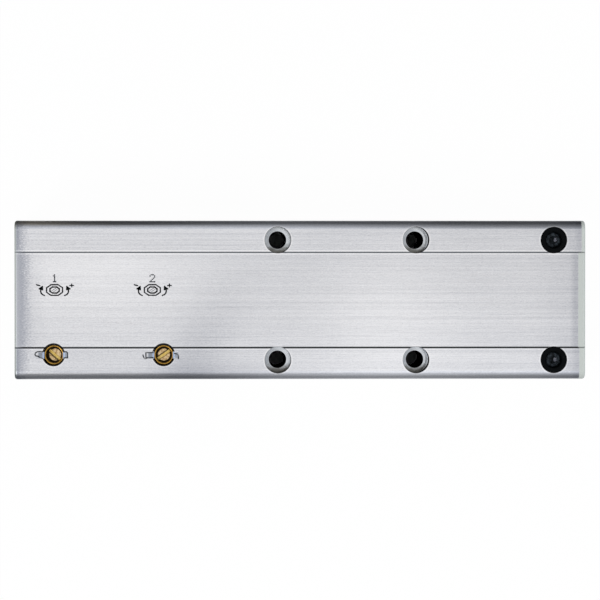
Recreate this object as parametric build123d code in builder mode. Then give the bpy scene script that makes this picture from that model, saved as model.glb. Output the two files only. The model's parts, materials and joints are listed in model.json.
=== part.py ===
from build123d import *
from math import acos, cos, degrees, pi, radians, sin, sqrt, tan
import os

# Overhead door closer body: an extruded housing holding a sprung rack piston, a toothed
# spindle and two oil valves. It lies on its mounting face.
# X runs along the body, Y across it and Z out of the mounting face. The origin is the
# middle of the mounting face. Sizes are in millimetres.

os.makedirs("parts", exist_ok=True)

# Housing extrusion
body_length = 216.0
body_height = 60.0
body_depth = 43.0
long_edge_radius = 3.2
end_edge_radius = 1.0
groove_offset = 18.0
groove_width = 0.5
groove_depth = 0.45
rim_chamfer = 0.25
front_rim_chamfer = 0.1

# Clearances
fit_clearance = 0.05
running_clearance = 0.03
bearing_clearance = 0.05
free_gap = 0.3

# Fixing holes: two rows of counterbored holes, one hole near the right end
hole_pitch = 52.3
hole_columns = 3
right_hole_inset = 12.0
row_shift_to_bore = 0.8
fixing_hole_radius = 3.25
counterbore_radius = 5.0
counterbore_depth = 9.0

# Cylinder bore, end cap seats and end caps
bore_radius = 17.0
cap_ledge = 1.0
left_cap_depth = 10.0
right_cap_depth = 12.0
cap_recess = 0.5
cap_chamfer = 0.6
stop_boss_radius = 4.0
spring_spigot_length = 4.0
pin_hole_radius = 2.0
pin_hole_depth = 4.0
pin_hole_offset = 10.0
cap_ring_cord = 0.85
cap_ring_squeeze = 0.05
cap_ring_from_ledge = 3.0
cap_groove_side_gap = 0.3

# Rack and pinion
module_size = 2.0
tooth_count = 10
pressure_angle = radians(20.0)
profile_shift = 0.45
tip_truncation = 0.3
root_allowance = 1.25
rack_backlash = 0.16
spindle_turn = radians(180.0)
flank_steps = 5

# Piston
end_chamber_length = 6.5
left_head_length = 16.0
right_head_length = 14.0
window_gap = 1.45
window_floor_gap = 0.7
vent_radius = 2.5
vent_offset = 8.0
piston_chamfer = 0.8
seal_ring_width = 2.5
seal_ring_thickness = 1.6
seal_ring_from_window = 2.2
seal_ring_side_gap = 0.1

# Ball valves in the left piston head
ball_radius = 2.25
ball_lift = 0.8
ball_seat_gap = 0.04
ball_bore_radius = 3.0
ball_end_gap = 0.1
ball_seat_radius = 1.5
ball_valve_offset = 7.5
check_seat_depth = 6.6
retainer_thickness = 1.2
retainer_bore_radius = 1.6
relief_seat_depth = 3.5
relief_wire = 0.6
relief_spring_radius = 1.6
relief_spring_turns = 5
relief_spring_length = 4.4
relief_screw_length = 3.2
relief_screw_bore = 1.2
relief_slot_width = 0.8
relief_slot_depth = 0.9

# Main spring
spring_wire = 5.5
spring_bore_gap = 1.0
spring_turns = 11
spring_spigot_gap = 0.5

# Spindle and its bearings, measured from the middle or in from the body's side
cross_bore_radius = 15.0
cross_bore_ledge = 1.0
spindle_end_recess = 0.7
journal_radius = 9.0
collar_radius = 10.5
collar_gap = 0.3
tooth_end_gap = 0.3
spindle_chamfer = 0.6
socket_across_flats = 10.0
socket_depth = 12.0
arm_screw_radius = 2.5
arm_screw_depth = 10.0
bearing_cap_recess = 0.4
bearing_cap_length = 9.0
needle_count = 24
needle_radius = 1.22
needle_length = 5.0
cup_wall = 1.06
cup_lip_thickness = 0.6
cup_lip_reach = 1.5
cup_from_cap_end = 0.2
cup_length = 6.4
seal_thickness = 1.6
seal_radius = 11.9
seal_seat_gap = 0.2
cap_mouth_radius = 10.3
spanner_hole_radius = 1.2
spanner_hole_depth = 1.8
spanner_hole_ring = 13.45

# Adjusting valves, measured in from the left end or down from the front face
latching_valve_inset = 14.75
valve_spacing = 41.45
valve_shift_to_bore = 2.7
port_radius = 4.05
port_depth = 11.5
valve_bore_radius = 3.1
valve_bore_depth = 16.2
seat_radius = 1.5
latching_seat_depth = 19.8
closing_seat_depth = 22.5
collar_top_depth = 2.7
collar_neck_length = 2.8
collar_neck_radius = 3.6
valve_collar_radius = 4.0
collar_bore_radius = 3.05
collar_lip_radius = 2.9
collar_lip_thickness = 0.6
screw_radius = 3.0
screw_bottom_depth = 15.1
screw_shoulder_depth = 8.7
screw_top_depth = 7.5
screw_boss_radius = 2.45
slot_width = 1.15
slot_depth = 1.6
needle_tip_radius = 0.6
valve_needle_radius = 1.2
valve_needle_length = 3.4
valve_needle_taper = 1.8
valve_ring_cord = 0.45
valve_ring_depth = 13.3
valve_ring_groove_width = 1.4
latching_slot_angle = -42.0
closing_slot_angle = 35.0

# Staking: the face is struck beside each port, which pushes a lug over the collar's neck
stake_half_height = 1.3
stake_depth_at_port = 0.45
stake_depth_outside = 0.15
stake_lug_radius = 3.5
stake_lug_gap = 0.1
latching_stakes = (3.0, 1.45)
closing_stakes = (3.1, 1.5)

# Drilled oil ways
chamber_hole_above_seat_end = 1.4
pressure_gallery_above_seat_end = 0.5
return_gallery_depth = 14.8
return_gallery_shift = 1.3
gallery_radius = 1.0
speed_port_radius = 1.25
speed_port_from_piston = 5.47
return_gallery_overrun = 1.5
plug_ball_radius = 1.5
plug_seat_depth = 3.2
plug_ball_inset = 0.15

# Black anchors in the counterbores of the right column
anchor_top_recess = 0.15
anchor_rim_chamfer = 0.3
anchor_screw_radius = 3.0
anchor_screw_recess = 3.0
anchor_screw_length = 5.5
anchor_socket_across_flats = 3.0
anchor_socket_depth = 2.5
anchor_screw_chamfer = 0.5

# Places worked out from the sizes above
left_end = -body_length / 2
right_end = body_length / 2
side = body_height / 2
front = body_depth
axis_z = body_depth / 2
right_column_x = right_end - right_hole_inset
row_y = (bore_radius + side) / 2 - row_shift_to_bore
cap_bore_radius = bore_radius + cap_ledge
left_cap_face = left_end + left_cap_depth
right_cap_face = right_end - right_cap_depth

pitch_radius = module_size * tooth_count / 2
base_radius = pitch_radius * cos(pressure_angle)
tip_radius = pitch_radius + module_size * (1 + profile_shift) - tip_truncation
root_radius = pitch_radius - module_size * (root_allowance - profile_shift)
tooth_half_angle = pi / 2 / tooth_count + 2 * profile_shift * tan(pressure_angle) / tooth_count
rack_line = pitch_radius + module_size * profile_shift
rack_tip = rack_line - module_size
rack_root = rack_line + module_size * root_allowance
rack_pitch = pi * module_size
piston_travel = pitch_radius * spindle_turn

piston_radius = bore_radius - fit_clearance
piston_left = left_cap_face + end_chamber_length
window_left = piston_left + left_head_length
spindle_x = window_left + window_gap + piston_travel + tip_radius
window_right = spindle_x + tip_radius + window_gap
piston_right = window_right + right_head_length
window_floor = -(tip_radius + window_floor_gap)

tooth_half_width = sqrt(piston_radius**2 - rack_tip**2) + tooth_end_gap
spindle_half_length = side - spindle_end_recess
bearing_cap_top = side - bearing_cap_recess
bearing_cap_bottom = bearing_cap_top - bearing_cap_length
collar_end = bearing_cap_bottom - collar_gap
cross_bore_inner_radius = cross_bore_radius - cross_bore_ledge
needle_ring_radius = journal_radius + bearing_clearance + needle_radius
cup_bore_radius = needle_ring_radius + needle_radius + bearing_clearance
cup_radius = cup_bore_radius + cup_wall
cup_bottom = bearing_cap_bottom + cup_from_cap_end
cup_top = cup_bottom + cup_length
seal_bottom = cup_top + seal_seat_gap
seal_top = seal_bottom + seal_thickness

latching_x = left_end + latching_valve_inset
closing_x = latching_x + valve_spacing
valve_y = -((bore_radius + side) / 2 - valve_shift_to_bore)
speed_port_x = piston_left + speed_port_from_piston
return_gallery_y = valve_y + return_gallery_shift
pressure_gallery_z = front - (closing_seat_depth - pressure_gallery_above_seat_end)
return_gallery_z = front - return_gallery_depth
chamber_hole_z = front - (latching_seat_depth - chamber_hole_above_seat_end)

to_right = (1, 0, 0)
to_left = (-1, 0, 0)
to_top = (0, 1, 0)
to_bottom = (0, -1, 0)
to_back = (0, 0, -1)


# Shared ways of making round features


def facing(direction, x, y, z):
    """Plane at a point, with its normal along a direction."""
    return Plane(origin=(x, y, z), z_dir=direction)


def bore(plane, radius, depth):
    """Take a round hole out of the part being built, from a plane along its normal."""
    with BuildSketch(plane) as hole:
        Circle(radius)
    extrude(hole.sketch, amount=depth, mode=Mode.SUBTRACT)


def turned(plane, outline, mode=Mode.ADD):
    """Revolve an outline of (radius, station) points about the plane's own y axis."""
    with BuildSketch(plane) as profile:
        with BuildLine():
            Polyline(*outline, close=True)
        make_face()
    revolve(profile.sketch, axis=Axis(plane.origin, plane.y_dir), mode=mode)


def turned_ring(plane, radius, station, cord_radius):
    """Ring of round section about the plane's own y axis."""
    with BuildSketch(plane) as profile:
        with Locations((radius, station)):
            Circle(cord_radius)
    revolve(profile.sketch, axis=Axis(plane.origin, plane.y_dir))


def coil(plane, length, mean_radius, wire, turns):
    """Round wire wound about the plane's z axis and ground flat at both ends."""
    with BuildLine() as wound:
        Helix(length / turns, length, mean_radius, center=plane.origin, direction=plane.z_dir)
    with BuildSketch(Plane(origin=wound.line @ 0, z_dir=wound.line % 0)) as wire_section:
        Circle(wire / 2)
    sweep(wire_section.sketch, path=wound.line, is_frenet=True)
    split(bisect_by=plane, keep=Keep.TOP)
    split(bisect_by=plane.offset(length), keep=Keep.BOTTOM)


def polygon_socket(plane, across_flats, sides, depth):
    """Take a socket with flat sides out of the part being built."""
    with BuildSketch(plane) as socket:
        RegularPolygon(across_flats / 2, sides, major_radius=False, rotation=180 / sides)
    extrude(socket.sketch, amount=depth, mode=Mode.SUBTRACT)


# Turning planes: local x is the radius and local y is the station along the axis
bore_turning = Plane(origin=(0, 0, axis_z), x_dir=(0, 1, 0), z_dir=(0, 0, -1))


def spindle_turning(way):
    """Turning plane of the spindle, with stations counted towards the top (1) or bottom (-1)."""
    return Plane(origin=(spindle_x, 0, axis_z), x_dir=(1, 0, 0), z_dir=(0, 0, way))


def valve_turning(x):
    """Turning plane of an adjusting valve, with stations counted in Z from the mounting face."""
    return Plane(origin=(x, valve_y, 0), x_dir=(1, 0, 0), z_dir=(0, -1, 0))


def ball_turning(y, x):
    """Turning plane along X of a ball valve in the piston, with stations counted from x."""
    return Plane(origin=(x, y, axis_z), x_dir=(0, 1, 0), z_dir=(0, 0, -1))


# Housing


def stake(x, way, length):
    """Strike the face beside a port and raise the lug that the blow pushes over the collar."""
    port_edge = x + way * port_radius
    outer_edge = port_edge + way * length
    lug_edge = x + way * stake_lug_radius
    side_plane = Plane(origin=(0, valve_y, 0), x_dir=(1, 0, 0), z_dir=(0, -1, 0))
    lug_bottom = front - collar_top_depth + stake_lug_gap
    with BuildSketch(side_plane) as lug:
        Polygon(
            (lug_edge, lug_bottom),
            (port_edge + way * fit_clearance, lug_bottom),
            (port_edge + way * fit_clearance, front - stake_depth_at_port),
            (lug_edge, front - stake_depth_at_port),
        )
    extrude(lug.sketch, amount=stake_half_height, both=True)
    with BuildSketch(side_plane) as pocket:
        Polygon(
            (lug_edge, front - stake_depth_at_port),
            (port_edge, front - stake_depth_at_port),
            (outer_edge, front - stake_depth_outside),
            (outer_edge, front + free_gap),
            (lug_edge, front + free_gap),
        )
    extrude(pocket.sketch, amount=stake_half_height, both=True, mode=Mode.SUBTRACT)


def valve_ways(x, seat_depth):
    """Port, stepped bore and seat of one adjusting valve."""
    bore(facing(to_back, x, valve_y, front), port_radius, port_depth)
    bore(facing(to_back, x, valve_y, front), valve_bore_radius, valve_bore_depth)
    bore(facing(to_back, x, valve_y, front), seat_radius, seat_depth)


def drilled_way(direction, x, y, z, radius, length):
    """Drilled oil way with the wider seat of its closing ball at its mouth."""
    bore(facing(direction, x, y, z), radius, length)
    bore(facing(direction, x, y, z), plug_ball_radius + fit_clearance, plug_seat_depth)


with BuildPart() as housing:
    with BuildSketch(Plane.YZ.offset(left_end)):
        with Locations((0, axis_z)):
            RectangleRounded(body_height, body_depth, long_edge_radius)
    extrude(amount=body_length)
    end_faces = housing.faces().filter_by(Axis.X)
    fillet(end_faces.edges(), end_edge_radius)

    # Two fine grooves along the front
    with BuildSketch(Plane.XY.offset(front)):
        with Locations((0, groove_offset), (0, -groove_offset)):
            Rectangle(body_length, groove_width)
    extrude(amount=-groove_depth, mode=Mode.SUBTRACT)

    # Cylinder bore with an end cap seat at each end, and the spindle's cross bore
    bore(facing(to_right, left_end, 0, axis_z), bore_radius, body_length)
    bore(facing(to_right, left_end, 0, axis_z), cap_bore_radius, left_cap_depth)
    bore(facing(to_left, right_end, 0, axis_z), cap_bore_radius, right_cap_depth)
    bore(facing(to_top, spindle_x, -side, axis_z), cross_bore_inner_radius, body_height)
    bore(facing(to_top, spindle_x, -side, axis_z), cross_bore_radius, side - bearing_cap_bottom)
    bore(facing(to_bottom, spindle_x, side, axis_z), cross_bore_radius, side - bearing_cap_bottom)

    # Counterbored fixing holes, counted from the right
    for column in range(hole_columns):
        for row in (row_y, -row_y):
            column_x = right_column_x - column * hole_pitch
            bore(facing(to_back, column_x, row, front), fixing_hole_radius, body_depth)
            bore(facing(to_back, column_x, row, front), counterbore_radius, counterbore_depth)

    valve_ways(latching_x, latching_seat_depth)
    valve_ways(closing_x, closing_seat_depth)

    # Broken edges round the mouths of the holes in the front, sides and ends
    front_rims = housing.edges().filter_by(GeomType.CIRCLE).filter_by_position(Axis.Z, front, front)
    chamfer(front_rims, front_rim_chamfer)
    top_rims = housing.edges().filter_by(GeomType.CIRCLE).filter_by_position(Axis.Y, side, side)
    chamfer(top_rims, rim_chamfer)
    bottom_rims = housing.edges().filter_by(GeomType.CIRCLE).filter_by_position(Axis.Y, -side, -side)
    chamfer(bottom_rims, rim_chamfer)

    # Latching way: end chamber to the latching valve's seat
    chamber_reach = side - bore_radius + gallery_radius
    drilled_way(to_top, latching_x, -side, chamber_hole_z, gallery_radius, chamber_reach)

    # Closing way: a port that the piston covers near shut, then along to the closing valve's seat
    drilled_way(to_top, speed_port_x, -side, pressure_gallery_z, speed_port_radius, chamber_reach)
    pressure_reach = closing_x - left_end
    drilled_way(to_right, left_end, valve_y, pressure_gallery_z, gallery_radius, pressure_reach)

    # Return way: from above both seats to the space round the spindle
    return_edge = sqrt(cross_bore_inner_radius**2 - (return_gallery_z - axis_z) ** 2)
    return_reach = spindle_x - return_edge + return_gallery_overrun - left_end
    drilled_way(to_right, left_end, return_gallery_y, return_gallery_z, gallery_radius, return_reach)

    stake(latching_x, -1, latching_stakes[0])
    stake(latching_x, 1, latching_stakes[1])
    stake(closing_x, -1, closing_stakes[0])
    stake(closing_x, 1, closing_stakes[1])

housing.part.label = "housing"
export_step(housing.part, "parts/housing.step")


# Balls that close the drilled ways

with BuildPart() as gallery_plugs:
    ball_inset = plug_ball_radius + plug_ball_inset
    with Locations(
        (left_end + ball_inset, valve_y, pressure_gallery_z),
        (left_end + ball_inset, return_gallery_y, return_gallery_z),
        (latching_x, -side + ball_inset, chamber_hole_z),
        (speed_port_x, -side + ball_inset, pressure_gallery_z),
    ):
        Sphere(plug_ball_radius)

gallery_plugs.part.label = "gallery_plugs"
export_step(gallery_plugs.part, "parts/gallery_plugs.step")


# End caps, with their O-rings

cap_radius = cap_bore_radius - fit_clearance
cap_ring_radius = cap_bore_radius - cap_ring_squeeze - cap_ring_cord
cap_groove_radius = cap_ring_radius - cap_ring_cord - fit_clearance
cap_groove_half_width = cap_ring_cord + cap_groove_side_gap
spring_bore_radius = bore_radius - spring_bore_gap - spring_wire


def end_cap_outline(ledge, way, length, boss_radius, boss_end):
    """Turned outline of an end cap: boss or spigot, ledge face, O-ring groove and outer face."""
    ring_middle = ledge + way * cap_ring_from_ledge
    outer_face = ledge + way * length
    return [
        (0, boss_end),
        (boss_radius, boss_end),
        (boss_radius, ledge),
        (cap_radius, ledge),
        (cap_radius, ring_middle - way * cap_groove_half_width),
        (cap_groove_radius, ring_middle - way * cap_groove_half_width),
        (cap_groove_radius, ring_middle + way * cap_groove_half_width),
        (cap_radius, ring_middle + way * cap_groove_half_width),
        (cap_radius, outer_face - way * cap_chamfer),
        (cap_radius - cap_chamfer, outer_face),
        (0, outer_face),
    ]


def spanner_holes(direction, x):
    """Two blind holes that a pin spanner turns an end cap by."""
    for y in (pin_hole_offset, -pin_hole_offset):
        bore(facing(direction, x, y, axis_z), pin_hole_radius, pin_hole_depth)


left_cap_length = left_cap_depth - cap_recess
right_cap_length = right_cap_depth - cap_recess

with BuildPart() as left_end_cap:
    stop_end = piston_left - free_gap
    turned(bore_turning, end_cap_outline(left_cap_face, -1, left_cap_length, stop_boss_radius, stop_end))
    spanner_holes(to_right, left_end + cap_recess)

left_end_cap.part.label = "left_end_cap"
export_step(left_end_cap.part, "parts/left_end_cap.step")

with BuildPart() as right_end_cap:
    spigot_radius = spring_bore_radius - spring_spigot_gap
    spigot_end = right_cap_face - spring_spigot_length
    turned(bore_turning, end_cap_outline(right_cap_face, 1, right_cap_length, spigot_radius, spigot_end))
    spanner_holes(to_left, right_end - cap_recess)

right_end_cap.part.label = "right_end_cap"
export_step(right_end_cap.part, "parts/right_end_cap.step")

with BuildPart() as left_cap_o_ring:
    turned_ring(bore_turning, cap_ring_radius, left_cap_face - cap_ring_from_ledge, cap_ring_cord)

left_cap_o_ring.part.label = "left_cap_o_ring"
export_step(left_cap_o_ring.part, "parts/left_cap_o_ring.step")

with BuildPart() as right_cap_o_ring:
    turned_ring(bore_turning, cap_ring_radius, right_cap_face + cap_ring_from_ledge, cap_ring_cord)

right_cap_o_ring.part.label = "right_cap_o_ring"
export_step(right_cap_o_ring.part, "parts/right_cap_o_ring.step")


# Piston: two heads joined by a rack in front of the spindle and a plain bar behind it

seal_ring_right = window_left - seal_ring_from_window
seal_ring_left = seal_ring_right - seal_ring_width
seal_groove_radius = bore_radius - running_clearance - seal_ring_thickness - fit_clearance
check_seat_x = piston_left + check_seat_depth
relief_seat_x = piston_left + relief_seat_depth
seat_to_ball = sqrt(ball_radius**2 - ball_seat_radius**2) + ball_seat_gap
relief_ball_x = relief_seat_x + seat_to_ball
check_ball_x = check_seat_x - seat_to_ball
relief_spring_x = relief_ball_x + ball_radius + fit_clearance
relief_screw_x = relief_spring_x + relief_spring_length + fit_clearance


def rack_half_space(height):
    """Half the width of a rack tooth space at a height above the spindle's axis."""
    widening = (rack_line - height) * tan(pressure_angle)
    return (rack_pitch / 2 + rack_backlash) / 2 + widening


with BuildPart() as piston:
    turned(
        bore_turning,
        [
            (0, piston_left),
            (piston_radius - piston_chamfer, piston_left),
            (piston_radius, piston_left + piston_chamfer),
            (piston_radius, seal_ring_left - seal_ring_side_gap),
            (seal_groove_radius, seal_ring_left - seal_ring_side_gap),
            (seal_groove_radius, seal_ring_right + seal_ring_side_gap),
            (piston_radius, seal_ring_right + seal_ring_side_gap),
            (piston_radius, piston_right - piston_chamfer),
            (piston_radius - piston_chamfer, piston_right),
            (0, piston_right),
        ],
    )

    # Window for the pinion, and the rack's tooth spaces above it
    with BuildSketch(Plane(origin=(0, 0, axis_z), x_dir=(1, 0, 0), z_dir=(0, -1, 0))):
        Polygon(
            (window_left, window_floor),
            (window_right, window_floor),
            (window_right, rack_tip),
            (window_left, rack_tip),
        )
        spaces_travelled = round(piston_travel / rack_pitch)
        for space in range(-spaces_travelled - 1, 2):
            with Locations((spindle_x + space * rack_pitch, 0)):
                Polygon(
                    (-rack_half_space(rack_tip), rack_tip),
                    (rack_half_space(rack_tip), rack_tip),
                    (rack_half_space(rack_root), rack_root),
                    (-rack_half_space(rack_root), rack_root),
                )
    extrude(amount=bore_radius, both=True, mode=Mode.SUBTRACT)

    # Vents through the right head, and the two ball valves in the left head
    for y in (vent_offset, -vent_offset):
        bore(facing(to_left, piston_right, y, axis_z), vent_radius, right_head_length)
    bore(facing(to_right, piston_left, ball_valve_offset, axis_z), ball_seat_radius, left_head_length)
    bore(facing(to_right, piston_left, ball_valve_offset, axis_z), ball_bore_radius, check_seat_depth)
    bore(facing(to_right, piston_left, -ball_valve_offset, axis_z), ball_seat_radius, left_head_length)
    relief_bore_depth = left_head_length - relief_seat_depth
    bore(facing(to_left, window_left, -ball_valve_offset, axis_z), ball_bore_radius, relief_bore_depth)

piston.part.label = "piston"
export_step(piston.part, "parts/piston.step")

with BuildPart() as piston_seal:
    seal_ring_radius = bore_radius - running_clearance
    turned(
        bore_turning,
        [
            (seal_ring_radius - seal_ring_thickness, seal_ring_left),
            (seal_ring_radius, seal_ring_left),
            (seal_ring_radius, seal_ring_right),
            (seal_ring_radius - seal_ring_thickness, seal_ring_right),
        ],
    )

piston_seal.part.label = "piston_seal"
export_step(piston_seal.part, "parts/piston_seal.step")

with BuildPart() as check_ball:
    with Locations((check_ball_x, ball_valve_offset, axis_z)):
        Sphere(ball_radius)

check_ball.part.label = "check_ball"
export_step(check_ball.part, "parts/check_ball.step")

with BuildPart() as check_ball_retainer:
    retainer_start = check_ball_x - ball_lift - ball_radius - ball_end_gap
    turned(
        ball_turning(ball_valve_offset, retainer_start),
        [
            (retainer_bore_radius, -retainer_thickness),
            (ball_bore_radius - fit_clearance, -retainer_thickness),
            (ball_bore_radius - fit_clearance, 0),
            (retainer_bore_radius, 0),
        ],
    )

check_ball_retainer.part.label = "check_ball_retainer"
export_step(check_ball_retainer.part, "parts/check_ball_retainer.step")

with BuildPart() as relief_ball:
    with Locations((relief_ball_x, -ball_valve_offset, axis_z)):
        Sphere(ball_radius)

relief_ball.part.label = "relief_ball"
export_step(relief_ball.part, "parts/relief_ball.step")

with BuildPart() as relief_spring:
    coil(
        facing(to_right, relief_spring_x, -ball_valve_offset, axis_z),
        relief_spring_length,
        relief_spring_radius,
        relief_wire,
        relief_spring_turns,
    )

relief_spring.part.label = "relief_spring"
export_step(relief_spring.part, "parts/relief_spring.step")

with BuildPart() as relief_screw:
    turned(
        ball_turning(-ball_valve_offset, relief_screw_x),
        [
            (relief_screw_bore, 0),
            (ball_bore_radius - fit_clearance, 0),
            (ball_bore_radius - fit_clearance, relief_screw_length),
            (relief_screw_bore, relief_screw_length),
        ],
    )
    with BuildSketch(facing(to_left, relief_screw_x + relief_screw_length, -ball_valve_offset, axis_z)):
        Rectangle(2 * ball_bore_radius, relief_slot_width)
    extrude(amount=relief_slot_depth, mode=Mode.SUBTRACT)

relief_screw.part.label = "relief_screw"
export_step(relief_screw.part, "parts/relief_screw.step")


# Main spring, between the piston and the right end cap

with BuildPart() as main_spring:
    spring_start = piston_right + fit_clearance
    spring_length = right_cap_face - fit_clearance - spring_start
    spring_mean_radius = bore_radius - spring_bore_gap - spring_wire / 2
    coil(
        facing(to_right, spring_start, 0, axis_z),
        spring_length,
        spring_mean_radius,
        spring_wire,
        spring_turns,
    )

main_spring.part.label = "main_spring"
export_step(main_spring.part, "parts/main_spring.step")


# Spindle with its pinion


def involute(radius):
    """Angle that the tooth flank has leaned in by at a radius."""
    lean = acos(base_radius / radius)
    return tan(lean) - lean


def half_tooth(radius):
    """Half the angle that a pinion tooth takes up at a radius."""
    return tooth_half_angle + involute(pitch_radius) - involute(radius)


def polar(radius, angle):
    return (radius * cos(angle), radius * sin(angle))


def pinion_outline():
    """Closed outline of the pinion, with one tooth centred on local y."""
    tooth_step = 2 * pi / tooth_count
    flank_rise = (tip_radius - base_radius) / flank_steps
    flank_radii = [base_radius + flank_rise * step for step in range(flank_steps + 1)]
    root_half = half_tooth(base_radius)
    for tooth in range(tooth_count):
        middle = pi / 2 + tooth * tooth_step
        rising = [polar(radius, middle - half_tooth(radius)) for radius in flank_radii]
        falling = [polar(radius, middle + half_tooth(radius)) for radius in flank_radii]
        Line(polar(root_radius, middle - root_half), rising[0])
        Spline(*rising)
        ThreePointArc(rising[-1], polar(tip_radius, middle), falling[-1])
        Spline(*falling)
        Line(falling[0], polar(root_radius, middle + root_half))
        ThreePointArc(
            polar(root_radius, middle + root_half),
            polar(root_radius, middle + tooth_step / 2),
            polar(root_radius, middle + tooth_step - root_half),
        )


with BuildPart() as spindle:
    with BuildSketch(Plane(origin=(spindle_x, 0, axis_z), x_dir=(1, 0, 0), z_dir=(0, -1, 0))):
        with BuildLine():
            pinion_outline()
        make_face()
    extrude(amount=tooth_half_width, both=True)
    for way in (1, -1):
        turned(
            spindle_turning(way),
            [
                (0, tooth_half_width),
                (collar_radius, tooth_half_width),
                (collar_radius, collar_end),
                (journal_radius, collar_end),
                (journal_radius, spindle_half_length - spindle_chamfer),
                (journal_radius - spindle_chamfer, spindle_half_length),
                (0, spindle_half_length),
            ],
        )
    for way in (1, -1):
        shaft_end = facing((0, -way, 0), spindle_x, way * spindle_half_length, axis_z)
        polygon_socket(shaft_end, socket_across_flats, 4, socket_depth)
        bore(shaft_end, arm_screw_radius, socket_depth + arm_screw_depth)

spindle.part.label = "spindle"
export_step(spindle.part, "parts/spindle.step")


# Bearings, seals and screwed-in bearing caps at both ends of the spindle

for end_name, way in (("upper", 1), ("lower", -1)):
    with BuildPart() as bearing_cap:
        cap_outer = cross_bore_radius - fit_clearance
        turned(
            spindle_turning(way),
            [
                (cup_radius + fit_clearance, bearing_cap_bottom),
                (cap_outer, bearing_cap_bottom),
                (cap_outer, bearing_cap_top - rim_chamfer),
                (cap_outer - rim_chamfer, bearing_cap_top),
                (cap_mouth_radius, bearing_cap_top),
                (cap_mouth_radius, seal_top + fit_clearance),
                (seal_radius + fit_clearance, seal_top + fit_clearance),
                (seal_radius + fit_clearance, cup_top + fit_clearance),
                (cup_radius + fit_clearance, cup_top + fit_clearance),
            ],
        )
        for across in (spanner_hole_ring, -spanner_hole_ring):
            hole_plane = facing((0, -way, 0), spindle_x + across, way * bearing_cap_top, axis_z)
            bore(hole_plane, spanner_hole_radius, spanner_hole_depth)

    bearing_cap.part.label = f"{end_name}_bearing_cap"
    export_step(bearing_cap.part, f"parts/{end_name}_bearing_cap.step")

    with BuildPart() as bearing_cup:
        lip_radius = cup_bore_radius - cup_lip_reach
        turned(
            spindle_turning(way),
            [
                (lip_radius, cup_bottom),
                (cup_radius, cup_bottom),
                (cup_radius, cup_top),
                (lip_radius, cup_top),
                (lip_radius, cup_top - cup_lip_thickness),
                (cup_bore_radius, cup_top - cup_lip_thickness),
                (cup_bore_radius, cup_bottom + cup_lip_thickness),
                (lip_radius, cup_bottom + cup_lip_thickness),
            ],
        )

    bearing_cup.part.label = f"{end_name}_bearing_cup"
    export_step(bearing_cup.part, f"parts/{end_name}_bearing_cup.step")

    with BuildPart() as bearing_needles:
        needles_middle = (cup_bottom + cup_top) / 2
        with BuildSketch(facing(to_top, spindle_x, way * needles_middle, axis_z)):
            with PolarLocations(needle_ring_radius, needle_count):
                Circle(needle_radius)
        extrude(amount=needle_length / 2, both=True)

    bearing_needles.part.label = f"{end_name}_bearing_needles"
    export_step(bearing_needles.part, f"parts/{end_name}_bearing_needles.step")

    with BuildPart() as spindle_seal:
        turned(
            spindle_turning(way),
            [
                (journal_radius + bearing_clearance, seal_bottom),
                (seal_radius, seal_bottom),
                (seal_radius, seal_top),
                (journal_radius + bearing_clearance, seal_top),
            ],
        )

    spindle_seal.part.label = f"{end_name}_spindle_seal"
    export_step(spindle_seal.part, f"parts/{end_name}_spindle_seal.step")


# Adjusting valves: a staked collar, a slotted screw with a tapered end, and its O-ring

valve_ring_radius = valve_bore_radius - bearing_clearance - valve_ring_cord
valve_groove_radius = valve_ring_radius - valve_ring_cord - bearing_clearance

for valve_name, valve_x, slot_angle in (
    ("latching", latching_x, latching_slot_angle),
    ("closing", closing_x, closing_slot_angle),
):
    with BuildPart() as valve_collar:
        collar_top = front - collar_top_depth
        collar_bottom = front - port_depth + fit_clearance
        turned(
            valve_turning(valve_x),
            [
                (collar_bore_radius, collar_bottom),
                (valve_collar_radius, collar_bottom),
                (valve_collar_radius, collar_top - collar_neck_length),
                (collar_neck_radius, collar_top - collar_neck_length),
                (collar_neck_radius, collar_top),
                (collar_lip_radius, collar_top),
                (collar_lip_radius, collar_top - collar_lip_thickness),
                (collar_bore_radius, collar_top - collar_lip_thickness),
            ],
        )

    valve_collar.part.label = f"{valve_name}_valve_collar"
    export_step(valve_collar.part, f"parts/{valve_name}_valve_collar.step")

    with BuildPart() as valve_screw:
        screw_bottom = front - screw_bottom_depth
        screw_shoulder = front - screw_shoulder_depth
        screw_top = front - screw_top_depth
        ring_middle = front - valve_ring_depth
        turned(
            valve_turning(valve_x),
            [
                (0, screw_bottom - valve_needle_length),
                (needle_tip_radius, screw_bottom - valve_needle_length),
                (valve_needle_radius, screw_bottom - valve_needle_length + valve_needle_taper),
                (valve_needle_radius, screw_bottom),
                (screw_radius, screw_bottom),
                (screw_radius, ring_middle - valve_ring_groove_width / 2),
                (valve_groove_radius, ring_middle - valve_ring_groove_width / 2),
                (valve_groove_radius, ring_middle + valve_ring_groove_width / 2),
                (screw_radius, ring_middle + valve_ring_groove_width / 2),
                (screw_radius, screw_shoulder),
                (screw_boss_radius, screw_shoulder),
                (screw_boss_radius, screw_top),
                (0, screw_top),
            ],
        )
        with BuildSketch(Plane(origin=(valve_x, valve_y, screw_top))):
            Rectangle(2 * screw_radius + fit_clearance, slot_width, rotation=slot_angle)
        extrude(amount=-slot_depth, mode=Mode.SUBTRACT)

    valve_screw.part.label = f"{valve_name}_valve_screw"
    export_step(valve_screw.part, f"parts/{valve_name}_valve_screw.step")

    with BuildPart() as valve_o_ring:
        turned_ring(valve_turning(valve_x), valve_ring_radius, front - valve_ring_depth, valve_ring_cord)

    valve_o_ring.part.label = f"{valve_name}_valve_o_ring"
    export_step(valve_o_ring.part, f"parts/{valve_name}_valve_o_ring.step")


# Black anchors: a sleeve and a socket screw in each counterbore of the right column

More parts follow.
